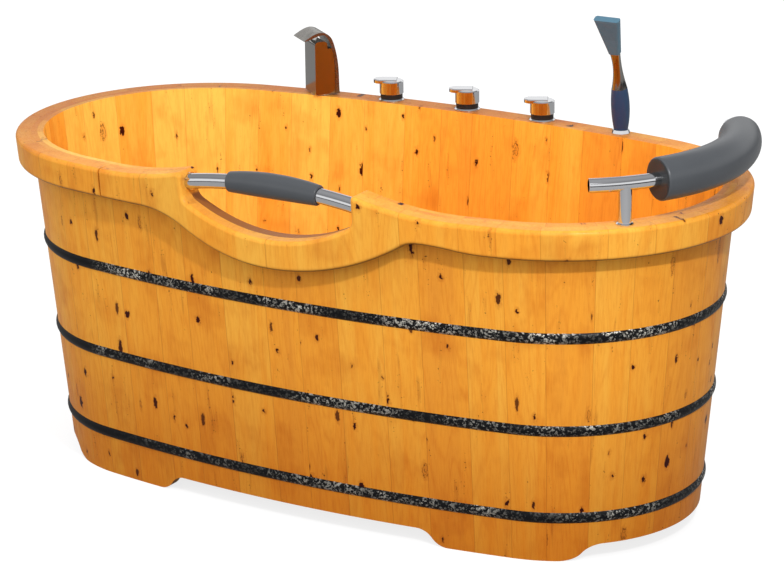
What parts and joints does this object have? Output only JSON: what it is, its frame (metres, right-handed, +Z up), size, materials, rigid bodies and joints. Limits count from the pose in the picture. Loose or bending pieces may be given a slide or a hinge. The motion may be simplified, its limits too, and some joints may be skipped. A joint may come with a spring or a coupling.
{
  "type": "wooden bathtub",
  "caption": "Oval coopered wooden soaking bathtub with a dipped entry, iron hoops, deck taps, swivel spout, hand shower, grab bar and padded headrest.",
  "frame": {"origin": "on the ground, under the middle of the oval", "axes": "+X along the tub to the headrest end, -Y to the front side with the entry dip, +Z up"},
  "size_m": [1.6062, 0.8121, 0.9378],
  "materials": {
    "wood": "satin varnish",
    "hoop_iron": "hammered, blackened",
    "chrome": "polished",
    "brass": "machined",
    "foam": "smooth skin foam",
    "black_rubber": "matte",
    "black_plastic": "matte",
    "navy_plastic": "satin",
    "grey_plastic": "satin",
    "spray_rubber": "matte"
  },
  "bodies": {
    "tub": {"drain_flange": "chrome", "floor_bearers": "wood", "floor_boards": "wood", "grab_bar": "chrome", "grab_bar_collars": "chrome", "grab_bar_sleeve": "foam", "headrest_bar": "chrome", "headrest_flanges": "chrome", "headrest_posts": "chrome", "headrest_roll": "foam", "hoop_bottom": "hoop_iron", "hoop_middle": "hoop_iron", "hoop_top": "hoop_iron", "lock_nuts": "brass", "rim_back_1": "wood", "rim_back_2": "wood", "rim_back_3": "wood", "rim_dip_left": "wood", "rim_dip_right": "wood", "rim_front": "wood", "rim_left_1": "wood", "rim_left_2": "wood", "rim_left_3": "wood", "rim_left_4": "wood", "rim_right_1": "wood", "rim_right_2": "wood", "rim_right_3": "wood", "rim_right_4": "wood", "shower_socket": "chrome", "spout_base": "chrome", "staves_back_left": "wood", "staves_back_middle": "wood", "staves_back_right": "wood", "staves_front_left": "wood", "staves_front_middle": "wood", "staves_front_right": "wood", "staves_left_end_back": "wood", "staves_left_end_front": "wood", "staves_right_end_back": "wood", "staves_right_end_front": "wood", "tap_bases": "chrome", "tap_collars": "black_rubber", "waste_nut": "black_plastic", "waste_tail": "black_plastic", "waste_washer": "black_rubber"},
    "hot_tap": {"hot_tap_handle": "chrome", "hot_tap_spindle": "brass"},
    "cold_tap": {"cold_tap_handle": "chrome", "cold_tap_spindle": "brass"},
    "diverter": {"diverter_handle": "chrome", "diverter_spindle": "brass"},
    "spout": {"spout_column": "chrome", "spout_hood": "chrome"},
    "handset": {"shower_grip": "navy_plastic", "shower_neck": "chrome", "shower_head": "grey_plastic", "shower_spray_plate": "spray_rubber"},
    "plug": {"drain_plug": "chrome"}
  },
  "joints": [
    {"name": "hot_tap_turn", "type": "hinge", "parent": "tub", "child": "hot_tap", "pos_m": [-0.1795, 0.3735, 0.71], "axis": [0, 0, 1], "range_deg": [0, 90]},
    {"name": "cold_tap_turn", "type": "hinge", "parent": "tub", "child": "cold_tap", "pos_m": [0.002, 0.379, 0.71], "axis": [0, 0, 1], "range_deg": [0, 90]},
    {"name": "diverter_turn", "type": "hinge", "parent": "tub", "child": "diverter", "pos_m": [0.1835, 0.37325, 0.71], "axis": [0, 0, 1], "range_deg": [0, 90]},
    {"name": "spout_swivel", "type": "hinge", "parent": "tub", "child": "spout", "pos_m": [-0.3435, 0.3588, 0.7], "axis": [0, 0, 1], "range_deg": [-52, 90]},
    {"name": "handset_lift", "type": "slide", "parent": "tub", "child": "handset", "axis": [0, 0, 1], "range_m": [0, 0.12]},
    {"name": "drain_plug_lift", "type": "slide", "parent": "tub", "child": "plug", "axis": [0, 0, 1], "range_m": [0, 0.05]}
  ]
}
